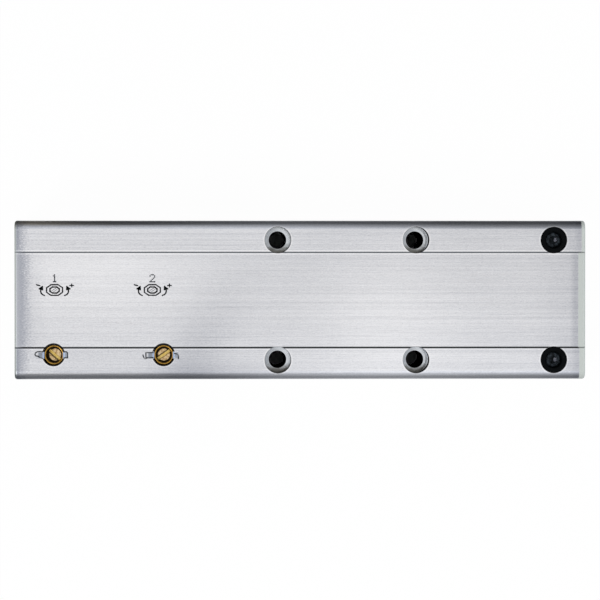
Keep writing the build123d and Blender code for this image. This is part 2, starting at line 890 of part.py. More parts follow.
for end_name, way in (("upper", 1), ("lower", -1)):
    anchor_y = way * row_y
    anchor_turning = Plane(origin=(right_column_x, anchor_y, 0), x_dir=(1, 0, 0), z_dir=(0, -1, 0))

    with BuildPart() as anchor_sleeve:
        sleeve_radius = counterbore_radius - fit_clearance
        sleeve_bore = anchor_screw_radius + fit_clearance
        sleeve_top = front - anchor_top_recess
        turned(
            anchor_turning,
            [
                (sleeve_bore, front - counterbore_depth + fit_clearance),
                (sleeve_radius, front - counterbore_depth + fit_clearance),
                (sleeve_radius, sleeve_top - anchor_rim_chamfer),
                (sleeve_radius - anchor_rim_chamfer, sleeve_top),
                (sleeve_bore + anchor_rim_chamfer, sleeve_top),
                (sleeve_bore, sleeve_top - anchor_rim_chamfer),
            ],
        )

    anchor_sleeve.part.label = f"{end_name}_anchor_sleeve"
    export_step(anchor_sleeve.part, f"parts/{end_name}_anchor_sleeve.step")

    with BuildPart() as anchor_screw:
        anchor_top = front - anchor_screw_recess
        turned(
            anchor_turning,
            [
                (0, anchor_top - anchor_screw_length),
                (anchor_screw_radius - anchor_screw_chamfer, anchor_top - anchor_screw_length),
                (anchor_screw_radius, anchor_top - anchor_screw_length + anchor_screw_chamfer),
                (anchor_screw_radius, anchor_top - anchor_screw_chamfer),
                (anchor_screw_radius - anchor_screw_chamfer, anchor_top),
                (0, anchor_top),
            ],
        )
        socket_plane = facing(to_back, right_column_x, anchor_y, anchor_top)
        polygon_socket(socket_plane, anchor_socket_across_flats, 6, anchor_socket_depth)

    anchor_screw.part.label = f"{end_name}_anchor_screw"
    export_step(anchor_screw.part, f"parts/{end_name}_anchor_screw.step")

print("piston travel", round(piston_travel, 2), "for", round(degrees(spindle_turn)), "degrees")
print("gap between spring turns", round(spring_length / spring_turns - spring_wire, 2))
squeezed_gap = (spring_length - piston_travel) / spring_turns - spring_wire
print("the same with the spring squeezed", round(squeezed_gap, 2))
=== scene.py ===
"""Looks of an overhead door closer body, dressed around its CAD frame. All lengths are in metres.

The closer lies on its mounting face. X runs along the body, Y across it and Z out of the
mounting face, so the camera looks down at the front with its valves and fixing holes.
"""

import json
import math
import random

import bmesh
import bpy
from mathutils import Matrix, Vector


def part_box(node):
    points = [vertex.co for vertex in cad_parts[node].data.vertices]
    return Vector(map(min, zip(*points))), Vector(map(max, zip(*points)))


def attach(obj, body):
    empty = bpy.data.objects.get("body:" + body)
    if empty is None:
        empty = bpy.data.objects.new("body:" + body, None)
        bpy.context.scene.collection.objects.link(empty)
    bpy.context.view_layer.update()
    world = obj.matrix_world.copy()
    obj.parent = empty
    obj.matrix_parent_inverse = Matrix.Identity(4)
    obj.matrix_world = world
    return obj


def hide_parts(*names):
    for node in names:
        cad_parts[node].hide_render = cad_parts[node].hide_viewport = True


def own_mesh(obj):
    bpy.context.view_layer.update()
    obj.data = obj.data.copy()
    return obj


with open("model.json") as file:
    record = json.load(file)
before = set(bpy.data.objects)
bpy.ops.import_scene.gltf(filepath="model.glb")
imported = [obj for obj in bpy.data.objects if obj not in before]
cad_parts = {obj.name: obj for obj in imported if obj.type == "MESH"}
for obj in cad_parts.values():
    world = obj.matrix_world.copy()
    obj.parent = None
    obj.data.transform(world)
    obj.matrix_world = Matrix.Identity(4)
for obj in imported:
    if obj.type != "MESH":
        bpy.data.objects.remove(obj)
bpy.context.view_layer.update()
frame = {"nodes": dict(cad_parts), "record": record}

MM = 0.001


# Places taken from the frame, in millimetres where a name ends in _mm


def middle(node):
    """Centre of a CAD node's box."""
    low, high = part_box(node)
    return (low + high) / 2


housing_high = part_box("housing")[1]
front = housing_high.z
front_mm = front / MM
end_mm = housing_high.x / MM
side_mm = housing_high.y / MM
mounts = {mount["name"]: mount for mount in frame["record"]["mounts"]}
hole_pitch_mm = mounts["body_fixing"]["dims"]["spacing_x_mm"]
hole_radius_mm = mounts["body_fixing"]["dims"]["hole_r_mm"]
anchor = middle("upper_anchor_sleeve")
anchor_low, anchor_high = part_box("upper_anchor_sleeve")
sleeve_gap_mm = 0.05
counterbore_radius_mm = (anchor_high.x - anchor_low.x) / 2 / MM + sleeve_gap_mm
valves = {"latching": middle("latching_valve_screw"), "closing": middle("closing_valve_screw")}
slot_angles = {"latching": -42.0, "closing": 35.0}
port_radius_mm = 4.05
groove_y_mm = 18.0
inside_groove_mm = groove_y_mm - 0.1
outside_groove_mm = groove_y_mm + 0.1
collar_top_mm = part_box("latching_valve_collar")[1].z / MM
screw_top_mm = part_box("latching_valve_screw")[1].z / MM
anchor_screw_top_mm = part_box("upper_anchor_screw")[1].z / MM


# Short ways of building shader nodes


class Shader:
    """One material's nodes, with short calls for the ones that it needs."""

    def __init__(self, name):
        self.material = bpy.data.materials.new(name)
        self.material.use_nodes = True
        self.tree = self.material.node_tree
        self.surface = self.tree.nodes["Principled BSDF"]
        place = self.add("ShaderNodeTexCoord", {}, {}).outputs["Object"]
        scaled = self.add("ShaderNodeVectorMath", {"operation": "SCALE"}, {0: place, "Scale": 1 / MM})
        self.place = scaled.outputs[0]
        parts = self.add("ShaderNodeSeparateXYZ", {}, {0: self.place})
        self.x, self.y, self.z = parts.outputs
        flat = self.add("ShaderNodeCombineXYZ", {}, {0: self.x, 1: self.y})
        self.flat_place = flat.outputs[0]
        self.normal = None

    def feed(self, socket, value):
        """Link a node's output to a socket, or set the socket to a constant."""
        if isinstance(value, bpy.types.NodeSocket):
            self.tree.links.new(value, socket)
        else:
            socket.default_value = value

    def add(self, kind, settings, inputs):
        node = self.tree.nodes.new(kind)
        for key, value in settings.items():
            setattr(node, key, value)
        for key, value in inputs.items():
            self.feed(node.inputs[key], value)
        return node

    def math(self, operation, *values):
        inputs = dict(enumerate(values))
        return self.add("ShaderNodeMath", {"operation": operation}, inputs).outputs[0]

    def vector_math(self, operation, first, second=None):
        inputs = {0: first} if second is None else {0: first, 1: second}
        node = self.add("ShaderNodeVectorMath", {"operation": operation}, inputs)
        return node.outputs["Value" if operation in ("LENGTH", "DOT_PRODUCT") else "Vector"]

    def total(self, *values):
        result = values[0]
        for value in values[1:]:
            result = self.math("ADD", result, value)
        return result

    def product(self, *values):
        result = values[0]
        for value in values[1:]:
            result = self.math("MULTIPLY", result, value)
        return result

    def largest(self, *values):
        result = values[0]
        for value in values[1:]:
            result = self.math("MAXIMUM", result, value)
        return result

    def inverse(self, value):
        return self.math("SUBTRACT", 1.0, value)

    def rise(self, value, start, end):
        """0 below start, 1 above end and smooth between them. It falls where start is above end."""
        settings = {"interpolation_type": "SMOOTHSTEP"}
        if start < end:
            inputs = {"Value": value, "From Min": start, "From Max": end}
        else:
            inputs = {"Value": value, "From Min": end, "From Max": start, "To Min": 1.0, "To Max": 0.0}
        return self.add("ShaderNodeMapRange", settings, inputs).outputs[0]

    def line(self, value, centre, half_width):
        """1 at the centre, falling to 0 at half the width to each side."""
        offset = self.math("ABSOLUTE", self.math("SUBTRACT", value, centre))
        return self.rise(offset, half_width, 0.0)

    def length(self, first, second):
        return self.math("SQRT", self.total(self.product(first, first), self.product(second, second)))

    def patch(self, centre_x, centre_y, radius_x, radius_y):
        """Soft round patch on the front, 1 at its centre and 0 at its rim."""
        across = self.math("DIVIDE", self.math("SUBTRACT", self.x, centre_x), radius_x)
        along = self.math("DIVIDE", self.math("SUBTRACT", self.y, centre_y), radius_y)
        return self.rise(self.length(across, along), 1.0, 0.0)

    def distance(self, centre):
        """Distance in millimetres from an upright axis."""
        across = self.math("SUBTRACT", self.x, centre.x / MM)
        along = self.math("SUBTRACT", self.y, centre.y / MM)
        return self.length(across, along)

    def stretched(self, x, y, z):
        """The place in millimetres, multiplied along each axis."""
        return self.vector_math("MULTIPLY", self.place, (x, y, z))

    def wave(self, value, frequency):
        """A sine of a value, between 0 and 1."""
        return self.math("MULTIPLY_ADD", self.math("SINE", self.product(value, frequency)), 0.5, 0.5)

    def noise(self, vector, detail=2.0, roughness=0.5):
        inputs = {"Vector": vector, "Scale": 1.0, "Detail": detail, "Roughness": roughness}
        return self.add("ShaderNodeTexNoise", {}, inputs).outputs["Fac"]

    def centred(self, value, amount):
        """A noise of 0 to 1 turned into one of half the amount to each side of 0."""
        return self.math("MULTIPLY_ADD", value, amount, -amount / 2)

    def mix(self, factor, first, second):
        """Mix of two values or sockets."""
        inputs = {0: factor, 2: first, 3: second}
        return self.add("ShaderNodeMix", {"data_type": "FLOAT"}, inputs).outputs[0]

    def mix_colour(self, factor, first, second):
        inputs = {0: factor, 6: first, 7: second}
        return self.add("ShaderNodeMix", {"data_type": "RGBA"}, inputs).outputs[2]

    def bump(self, height, depth):
        """Bump from a height that stands for so many times the depth in metres. Calls add up."""
        inputs = {"Height": height, "Distance": depth, "Strength": 1.0}
        if self.normal is not None:
            inputs["Normal"] = self.normal
        self.normal = self.add("ShaderNodeBump", {}, inputs).outputs[0]

    def finish(self, **inputs):
        """Set the surface's own sockets by name and return the material."""
        for name, value in inputs.items():
            self.feed(self.surface.inputs[name.replace("_", " ")], value)
        if self.normal is not None:
            self.feed(self.surface.inputs["Normal"], self.normal)
        return self.material


def grey(value, blue=0.0):
    """A near-neutral colour with a touch of blue."""
    return (value * (1 - blue), value, value * (1 + blue), 1.0)


# Bright extruded aluminium of the housing

# The face lies between two colours, at a share that its tone moves from the usual one
FACE_DARK = (0.291, 0.301, 0.338, 1.0)
FACE_LIGHT = (0.974, 0.953, 0.937, 1.0)
USUAL_SHARE = 0.685
SHARE_PER_TONE = 0.4

MATT_STRIP_DARK = (0.44, 0.468, 0.44, 1.0)
MATT_STRIP_LIGHT = (0.55, 0.575, 0.54, 1.0)
END_EDGE_SHADE = (0.52, 0.56, 0.53, 1.0)
# Paint for the shade in the grooves and on the lower groove's flanks
UPPER_GROOVE_SHADE = grey(0.17, 0.06)
LOWER_GROOVE_SHADE = grey(0.015)
LOWER_FLANK_SHADE = grey(0.22, 0.06)
COUNTERBORE_DARK = (0.25, 0.27, 0.295, 1.0)
COUNTERBORE_LIGHT = (0.92, 0.95, 0.98, 1.0)
COUNTERBORE_SHADE_BROWN = (0.14, 0.137, 0.128, 1.0)
COUNTERBORE_LEFT_WALL_SHADE = grey(0.16, 0.03)
COUNTERBORE_RIGHT_WALL_SHADE = grey(0.015, 0.05)
STRUCK_FLOOR_DARK = (0.09, 0.105, 0.125, 1.0)
STRUCK_FLOOR_LIGHT = (0.40, 0.43, 0.48, 1.0)
# Painted bluish reflection on the struck lugs, and painted shade along the struck marks' outlines
STRUCK_LUG_REFLECTION = (0.46, 0.56, 0.73, 1.0)
STRUCK_EDGE_SHADE = grey(0.025, 0.12)
MILLED_DARK = grey(0.46, 0.02)
MILLED_LIGHT = grey(0.68, 0.01)
# Near-black painted as shade in the holes, ports and the gap round each anchor screw, and used for the dark
# rings round the ports
HOLE_SHADE_BLACK = (0.004, 0.004, 0.005, 1.0)

# Millimetres: left of which there are no fixing holes, the width of the matt strip at the right end,
# how much less it is above and below the grooves, and how deep the counterbores' walls are painted dark as
# shade
LEFTMOST_HOLES = -25.0
MATT_STRIP_WIDTH = 2.75
UPPER_STRIP_LESS = 1.3
LOWER_STRIP_LESS = 0.45
DARK_WALL_DEPTH = 6.8
BRIGHT_FOOT_DEPTH = 7.6

# A distance past every mark on the face, in millimetres
FAR = 100.0

# Outlines of the struck marks beside the ports, along which shade is painted, as points from each valve's
# axis in millimetres
STAKE_OUTLINES = {
    "latching": (
        ((-4.0, 1.3), (-5.2, 1.4), (-6.2, 1.3), (-6.8, 0.85), (-7.0, 0.2)),
        ((-7.0, 0.2), (-6.65, -0.25), (-5.8, -0.4), (-5.2, -0.9), (-4.2, -1.2)),
        ((3.9, 1.2), (4.5, 1.3), (4.9, 1.25), (5.25, 0.9), (5.25, -1.0), (4.5, -0.95), (3.9, -1.1)),
    ),
    "closing": (
        ((-3.9, 0.95), (-5.5, 0.95), (-6.65, 0.95), (-6.65, -0.85), (-5.5, -1.0), (-4.0, -0.95)),
        ((-7.75, 0.0), (-7.45, -0.95), (-6.95, -1.35), (-6.3, -1.15)),
        ((4.1, 0.65), (4.8, 0.45), (5.5, 0.1), (5.65, -0.4), (5.6, -1.3)),
    ),
}


class Housing(Shader):
    """The housing's material: noises, masks of its parts, and colours laid over each other."""

    def __init__(self):
        super().__init__("extruded_aluminium")
        self.colour = None
        self.fine = self.noise(self.stretched(0.05, 2.6, 2.6), 2.0, 0.6)
        self.long_streaks = self.noise(self.stretched(0.006, 0.8, 0.8), 2.0)
        self.dash = self.rise(self.noise(self.stretched(0.9, 4.5, 4.5), 1.0), 0.68, 0.78)
        self.grain = self.noise(self.stretched(3.0, 3.0, 3.0), 2.0, 0.6)
        self.speckle = self.noise(self.stretched(1.3, 3.0, 3.0), 2.0, 0.6)
        self.blotch = self.noise(self.stretched(0.5, 0.8, 0.8), 2.0)

        # The two strips outside the grooves, and the sides
        self.out_x = self.math("ABSOLUTE", self.x)
        self.out_y = self.math("ABSOLUTE", self.y)
        self.upper_strip = self.rise(self.y, inside_groove_mm, outside_groove_mm)
        self.lower_strip = self.rise(self.y, -inside_groove_mm, -outside_groove_mm)
        self.outer_strips = self.rise(self.out_y, inside_groove_mm, outside_groove_mm)
        self.between_grooves = self.inverse(self.outer_strips)
        self.off_groove = self.math("ABSOLUTE", self.math("SUBTRACT", self.out_y, groove_y_mm))
        self.long_side = self.rise(self.out_y, side_mm - 0.3, side_mm - 0.05)

        # Blasted left end, rougher and painted darker as shade, with a speckled edge that reaches further
        # in between the grooves
        self.from_left = self.math("ADD", self.x, end_mm)
        less_reach = self.mix(self.rise(self.y, -1.0, 1.0), 0.9, 1.6)
        ragged = self.total(
            self.from_left,
            self.product(self.outer_strips, less_reach),
            self.centred(self.speckle, 7.0),
            self.centred(self.blotch, 2.0),
        )
        self.left_band = self.rise(ragged, 7.6, 2.2)

        # Matt strip at the right end, whose edge differs between the grooves
        strip_start = self.total(
            end_mm - MATT_STRIP_WIDTH,
            self.product(self.upper_strip, UPPER_STRIP_LESS),
            self.product(self.lower_strip, LOWER_STRIP_LESS),
        )
        self.into_strip = self.math("SUBTRACT", self.x, strip_start)
        self.matt_strip = self.rise(self.into_strip, -0.12, 0.12)

        # Counterbores and fixing holes, where the nearest hole's axis is the centre
        from_column = self.math("SUBTRACT", self.x, anchor.x / MM)
        self.right_of_hole = self.math("WRAP", from_column, hole_pitch_mm / 2, -hole_pitch_mm / 2)
        out_of_hole = self.math("SUBTRACT", self.out_y, anchor.y / MM)
        self.above_hole = self.product(out_of_hole, self.math("SIGN", self.y))
        no_holes = self.rise(self.x, LEFTMOST_HOLES, LEFTMOST_HOLES - 1.0)
        to_nearest = self.length(self.right_of_hole, out_of_hole)
        self.hole_distance = self.total(to_nearest, self.product(no_holes, FAR))
        below_face = self.rise(self.z, front_mm - 0.02, front_mm - 0.3)
        within = self.rise(self.hole_distance, counterbore_radius_mm + 0.2, counterbore_radius_mm + 0.1)
        self.in_bore = self.product(below_face, within)
        self.bore_wall = self.product(
            self.rise(self.hole_distance, counterbore_radius_mm - 0.14, counterbore_radius_mm - 0.04),
            self.rise(self.z, front_mm - BRIGHT_FOOT_DEPTH, front_mm - DARK_WALL_DEPTH),
        )
        within = self.rise(self.hole_distance, hole_radius_mm + 0.14, hole_radius_mm + 0.04)
        in_hole = self.product(below_face, within)

        # Valve ports, painted black inside as shade, with a dark ring round their rims
        self.port_distance = self.math("MINIMUM", *map(self.distance, valves.values()))
        in_port = self.product(
            self.rise(self.port_distance, port_radius_mm + 0.3, port_radius_mm + 0.1),
            self.rise(self.z, front_mm - 0.5, front_mm - 0.7),
        )
        rim_lift = Vector((0.0, 0.15 * MM, 0.0))
        lifted = [centre + rim_lift for centre in valves.values()]
        rim_distance = self.math("MINIMUM", *map(self.distance, lifted))
        dark_rim = self.product(
            self.rise(rim_distance, port_radius_mm + 0.4, port_radius_mm + 0.24),
            self.rise(self.z, front_mm - 0.08, front_mm - 0.03),
        )
        self.dark = self.largest(in_hole, in_port, dark_rim)

        # Turned counterbore floors, and milled ends with the cutter's arcs
        self.turning = self.wave(self.hole_distance, 11.0)
        self.end_face = self.rise(self.out_x, end_mm - 0.1, end_mm - 0.02)
        from_cutter_y, from_cutter_z = self.math("ADD", self.y, 95.0), self.math("SUBTRACT", self.z, 10.0)
        self.arcs = self.wave(self.length(from_cutter_y, from_cutter_z), 7.5)

    def paint(self, share, colour):
        """Lay a colour over the one so far, by a share."""
        self.colour = self.mix_colour(share, self.colour, colour)

    def broad_painted_reflections(self):
        """Broad lighter and darker areas of the face, painted as highlights and shade of its reflections.
        """
        slant = self.total(
            self.product(self.math("ADD", self.x, 34.0), 0.917),
            self.product(self.math("ADD", self.y, 5.0), -0.4),
        )
        lower_edge = self.rise(self.y, -18.0, -28.0)
        return self.total(
            self.product(self.upper_strip, self.mix(self.rise(self.x, -10.0, 10.0), 0.12, 0.0)),
            self.product(self.patch(-77.0, 17.0, 66.0, 46.0), self.between_grooves, 0.6),
            self.product(self.patch(33.0, -8.0, 40.0, 60.0), 0.32),
            self.product(self.patch(32.0, -22.0, 85.0, 42.0), 0.22),
            self.product(self.line(slant, 0.0, 17.0), self.rise(self.y, 20.0, -28.0), -0.45),
            self.product(self.rise(self.x, 84.0, 106.0), -0.33),
            self.product(self.lower_strip, self.line(self.x, -34.0, 34.0), lower_edge, -0.45),
            self.product(self.lower_strip, 0.03),
        )

    def streak_tone(self):
        """Streaks, scratches and dashes along X, with grain, and specks that are stronger on the left."""
        lines = self.noise(self.stretched(0.004, 3.2, 3.2), 1.0)
        cloud = self.noise(self.stretched(0.03, 0.06, 0.06), 2.0)
        short = self.noise(self.stretched(0.45, 3.6, 3.6), 1.0)
        scratches = self.rise(self.noise(self.stretched(0.022, 2.3, 2.3), 1.0), 0.62, 0.72)
        more_on_the_left = self.mix(self.rise(self.x, -40.0, -95.0), 1.0, 1.3)
        return self.total(
            self.centred(cloud, 0.1),
            self.centred(lines, 0.8),
            self.centred(self.fine, 0.3),
            self.centred(short, 0.65),
            self.product(scratches, -0.3),
            self.centred(self.long_streaks, 0.2),
            self.centred(self.grain, 0.8),
            self.product(self.centred(self.speckle, 1.2), more_on_the_left),
            self.product(self.dash, -0.5),
        )

    def end_tone(self, tone):
        """The face's tone with its speckled left end painted darker as shade, a painted highlight on its
        last edge between the grooves and painted shade on it outside them, painted shade near the left end,
        and painted shade, as on a slope, before the matt strip.
        """
        painted_end_highlight_and_shade = self.product(
            self.rise(self.from_left, 2.6, 0.6), self.mix(self.between_grooves, -0.3, 0.25)
        )
        painted_shade_near_left = self.product(self.rise(self.from_left, 14.0, 5.0), self.between_grooves, -0.25)
        left_tone = self.total(-1.25, self.centred(self.speckle, 0.9), painted_end_highlight_and_shade)
        return self.total(
            self.mix(self.left_band, self.total(tone, painted_shade_near_left), left_tone),
            self.product(self.rise(self.into_strip, -12.0, -4.0), self.mix(self.outer_strips, 0.02, -0.12)),
            self.product(self.rise(self.into_strip, -3.6, -0.9), self.mix(self.outer_strips, -0.5, -0.3)),
        )

    def painted_edge_highlights(self):
        """Painted highlights: lighter lines beside the grooves and round the mouths of the holes and ports.
        """
        beside = self.line(self.off_groove, 0.62, 0.34)
        lower_highlight_share = self.largest(self.lower_strip, self.rise(self.x, -10.0, -25.0))
        groove_highlight = self.product(beside, self.mix(self.rise(self.y, 0.0, 1.0), lower_highlight_share, 2.0))
        rim_highlights = self.largest(
            self.line(self.hole_distance, counterbore_radius_mm + 0.32, 0.36),
            self.line(self.port_distance, port_radius_mm + 0.32, 0.38),
        )
        return self.total(self.product(groove_highlight, 0.4), self.product(rim_highlights, 0.6))

    def paint_face(self):
        """Light grey where the tone is 0, and bluer where it is darker, with a matt strip at the right and
        painted shade on the rounded edges at both ends.
        """
        tone = self.end_tone(self.total(self.broad_painted_reflections(), self.streak_tone()))
        tone = self.total(tone, self.painted_edge_highlights())
        share = self.math("MULTIPLY_ADD", tone, SHARE_PER_TONE, USUAL_SHARE)
        self.colour = self.mix_colour(share, FACE_DARK, FACE_LIGHT)
        self.paint(self.matt_strip, self.mix_colour(self.grain, MATT_STRIP_DARK, MATT_STRIP_LIGHT))
        # Painted shade on the rounded edges at both ends
        self.paint(self.product(self.rise(self.out_x, end_mm - 0.95, end_mm - 0.6), 0.7), END_EDGE_SHADE)

    def paint_grooves(self):
        """Grooves painted dark as shade, which fade at both ends. The lower one is painted darker, with
        painted shade on its flanks.
        """
        flank = self.product(self.rise(self.y, 1.0, -1.0), self.rise(self.off_groove, 0.55, 0.3))
        self.paint(self.product(flank, self.inverse(self.matt_strip), 0.6), LOWER_FLANK_SHADE)
        faded = self.largest(self.matt_strip, self.rise(self.from_left, 3.5, 1.0))
        groove = self.product(
            self.rise(self.off_groove, 0.34, 0.24),
            self.rise(self.z, front_mm - 0.04, front_mm - 0.1),
            self.math("MULTIPLY_ADD", faded, -0.6, 1.0),
        )
        self.paint(groove, self.mix_colour(self.rise(self.y, -1.0, 1.0), LOWER_GROOVE_SHADE, UPPER_GROOVE_SHADE))

    def paint_counterbores(self):
        """Turned floors, lighter towards the right as a painted highlight and browner below the hole as
        painted shade, in walls painted dark as shade above their foot, darkest on the right.
        """
        share = self.total(
            self.product(self.turning, 0.25),
            self.product(self.blotch, 0.3),
            # Lighter towards the right of each hole: a painted highlight
            self.product(self.rise(self.right_of_hole, -4.0, 3.0), 0.45),
        )
        floor = self.mix_colour(share, COUNTERBORE_DARK, COUNTERBORE_LIGHT)
        # Browner below the hole: painted shade
        shaded_below_hole = self.rise(self.total(self.above_hole, self.centred(self.blotch, 3.0)), -1.0, -4.4)
        floor = self.mix_colour(shaded_below_hole, floor, COUNTERBORE_SHADE_BROWN)
        # Walls painted dark as shade, darkest on the right
        shaded_right_wall = self.rise(self.right_of_hole, -2.5, 0.5)
        wall = self.mix_colour(shaded_right_wall, COUNTERBORE_LEFT_WALL_SHADE, COUNTERBORE_RIGHT_WALL_SHADE)
        self.paint(self.in_bore, self.mix_colour(self.bore_wall, floor, wall))

    def outline_distance(self, centre, points):
        """Distance on the face from a line through points that are counted from an axis."""
        nearest = FAR
        for start, end in zip(points, points[1:]):
            first = (centre.x / MM + start[0], centre.y / MM + start[1], 0.0)
            run = (end[0] - start[0], end[1] - start[1], 0.0)
            run_squared = run[0] ** 2 + run[1] ** 2
            from_first = self.vector_math("SUBTRACT", self.flat_place, first)
            covered = self.math("DIVIDE", self.vector_math("DOT_PRODUCT", from_first, run), run_squared)
            share = self.math("MINIMUM", self.math("MAXIMUM", covered, 0.0), 1.0)
            foot = self.add("ShaderNodeVectorMath", {"operation": "SCALE"}, {0: run, "Scale": share})
            to_foot = self.vector_math("SUBTRACT", from_first, foot.outputs[0])
            nearest = self.math("MINIMUM", nearest, self.vector_math("LENGTH", to_foot))
        return nearest

    def paint_struck_marks(self):
        """Grey struck floors beside the ports, with a painted bluish reflection over the collars and
        painted shade along their outlines.
        """
        low = self.rise(self.z, front_mm - 0.04, front_mm - 0.12)
        edge_shade_strength = self.math("MULTIPLY_ADD", self.blotch, 1.8, 0.05)
        floor_colour = self.mix_colour(self.grain, STRUCK_FLOOR_DARK, STRUCK_FLOOR_LIGHT)
        for valve, centre in valves.items():
            out = self.math("ABSOLUTE", self.math("SUBTRACT", self.x, centre.x / MM))
            along = self.math("ABSOLUTE", self.math("SUBTRACT", self.y, centre.y / MM))
            floor = self.product(low, self.rise(out, 6.2, 5.4), self.rise(along, 1.15, 0.95))
            self.paint(self.product(floor, 0.9), floor_colour)
            # Painted bluish reflection on the lug
            lug = self.product(low, self.rise(out, 4.35, 4.15), self.rise(along, 1.32, 1.2))
            self.paint(self.product(lug, 0.85), STRUCK_LUG_REFLECTION)
            # Painted shade along the outlines
            for points in STAKE_OUTLINES[valve]:
                edge_shade = self.rise(self.outline_distance(centre, points), 0.36, 0.1)
                self.paint(self.product(edge_shade, edge_shade_strength), STRUCK_EDGE_SHADE)

    def paint_ends(self):
        """Paler and darker arcs of the cutter, with grain between them."""
        share = self.total(self.product(self.arcs, 0.4), self.product(self.grain, 0.6))
        self.paint(self.end_face, self.mix_colour(share, MILLED_DARK, MILLED_LIGHT))

    def roughness(self):
        """Matt where blasted, extruded or dark and on bore walls, and glossy on counterbore floors."""
        rough = self.math("MULTIPLY_ADD", self.fine, 0.12, 0.24)
        turned_floor = self.product(self.in_bore, self.inverse(self.bore_wall), self.inverse(self.dark))
        for share, value in (
            (self.left_band, 0.42),
            (self.largest(self.matt_strip, self.long_side), 0.6),
            (self.largest(self.dark, self.product(self.bore_wall, self.in_bore)), 1.0),
            (turned_floor, 0.14),
        ):
            rough = self.mix(share, rough, value)
        return rough

    def metallic(self):
        """The long sides are left as extruded, less bright than the ground front."""
        matt_wall = self.product(self.bore_wall, self.in_bore)
        ground = self.product(self.mix(self.matt_strip, 1.0, 0.25), self.inverse(matt_wall))
        return self.mix(self.long_side, ground, 0.45)

    def extruded_aluminium(self):
        """Bright extrusion, streaked along X, with painted highlights and shade, blasted ends with the left
        one painted darker as shade, turned counterbores, and holes and ports painted dark as shade.
        """
        self.paint_face()
        self.paint_grooves()
        self.paint_counterbores()
        self.paint_struck_marks()
        # Holes and ports painted black as shade, and the rings round the ports dark
        self.paint(self.dark, HOLE_SHADE_BLACK)
        self.paint_ends()
        relief = self.total(
            self.product(self.fine, 0.4),
            self.product(self.long_streaks, 0.3),
            self.product(self.dash, -0.3),
            self.product(self.grain, self.largest(self.left_band, self.matt_strip), 1.5),
            self.product(self.turning, self.in_bore, 0.3),
            self.product(self.arcs, self.end_face, 0.8),
        )
        self.bump(relief, 0.01 * MM)
        return self.finish(Base_Color=self.colour, Metallic=self.metallic(), Roughness=self.roughness())


# Turned, ground and coiled steel, brass and black pieces


def turned_metal(name, dark, light, rough, axis, centre, spacing):
    """Metal turned about an axis through a centre, with fine rings and slight blotches."""
    shader = Shader(name)
    first, second = [index for index in range(3) if index != "XYZ".index(axis)]
    places = (shader.x, shader.y, shader.z)
    across = shader.math("SUBTRACT", places[first], centre[first] / MM)
    along = shader.math("SUBTRACT", places[second], centre[second] / MM)
    radius = shader.length(across, along)
    rings = shader.wave(radius, 2 * math.pi / spacing)
    blotch = shader.noise(shader.stretched(0.35, 0.35, 0.35), 4.0, 0.6)
    grain = shader.noise(shader.stretched(4.0, 4.0, 4.0), 2.0)
    share = shader.total(shader.product(rings, 0.25), shader.product(blotch, 0.75))
    colour = shader.mix_colour(shader.rise(share, 0.3, 0.7), dark, light)
    blotched = shader.math("MULTIPLY_ADD", blotch, 0.2, rough - 0.1)
    roughness = shader.total(blotched, shader.product(grain, 0.05))
    shader.bump(shader.total(rings, grain), 0.006 * MM)
    return shader.finish(Base_Color=colour, Metallic=1.0, Roughness=roughness)


# Brown-black and brown painted as shade in the valves' recesses and gaps
BRASS_SHADE_BLACK = (0.010, 0.007, 0.004, 1.0)
BRASS_SHADE_BROWN = (0.04, 0.026, 0.012, 1.0)
COLLAR_DARK = (0.07, 0.034, 0.008, 1.0)
COLLAR_BROWN = (0.17, 0.088, 0.02, 1.0)
# Painted highlight on the collar's top
COLLAR_HIGHLIGHT = (0.98, 0.55, 0.10, 1.0)
SCREW_TOP_DARK = (0.50, 0.31, 0.135, 1.0)
SCREW_TOP_LIGHT = (0.95, 0.70, 0.385, 1.0)
SLOT_FLOOR_DARK = (0.74, 0.44, 0.085, 1.0)
SLOT_FLOOR_LIGHT = (1.0, 0.75, 0.25, 1.0)


def collar_brass(name, centre):
    """Turned brass ring: painted highlights as bright lines on its top, the inner one only on the left, and
    painted shade at its edges and below its top.
    """
    shader = Shader(name)
    radius = shader.distance(centre + Vector((0.0, 0.08 * MM, 0.0)))
    blotch = shader.noise(shader.stretched(0.6, 0.6, 0.6), 3.0)
    grain = shader.noise(shader.stretched(3.5, 3.5, 3.5), 2.0)
    left_side = shader.rise(shader.x, centre.x / MM + 0.5, centre.x / MM - 1.5)
    inner_line = shader.product(shader.line(radius, 3.12, 0.1), left_side, 0.45)
    lines = shader.largest(shader.line(radius, 3.43, 0.22), inner_line)
    # Painted highlights along the lines, the inner one only on the left
    bright = shader.product(lines, shader.math("MULTIPLY_ADD", blotch, 2.4, -0.2))
    colour = shader.mix_colour(grain, COLLAR_DARK, COLLAR_BROWN)
    colour = shader.mix_colour(bright, colour, COLLAR_HIGHLIGHT)
    # Painted shade at the inner and outer edges, and below the top
    edges = shader.largest(shader.rise(radius, 3.14, 3.0), shader.rise(radius, 3.68, 3.78))
    colour = shader.mix_colour(shader.product(edges, 0.9), colour, BRASS_SHADE_BLACK)
    shaded_below_top = shader.rise(shader.z, collar_top_mm - 0.05, collar_top_mm - 0.3)
    colour = shader.mix_colour(shaded_below_top, colour, BRASS_SHADE_BLACK)
    shader.bump(shader.total(shader.product(lines, 2.0), grain), 0.02 * MM)
    return shader.finish(Base_Color=colour, Metallic=1.0, Roughness=0.3)


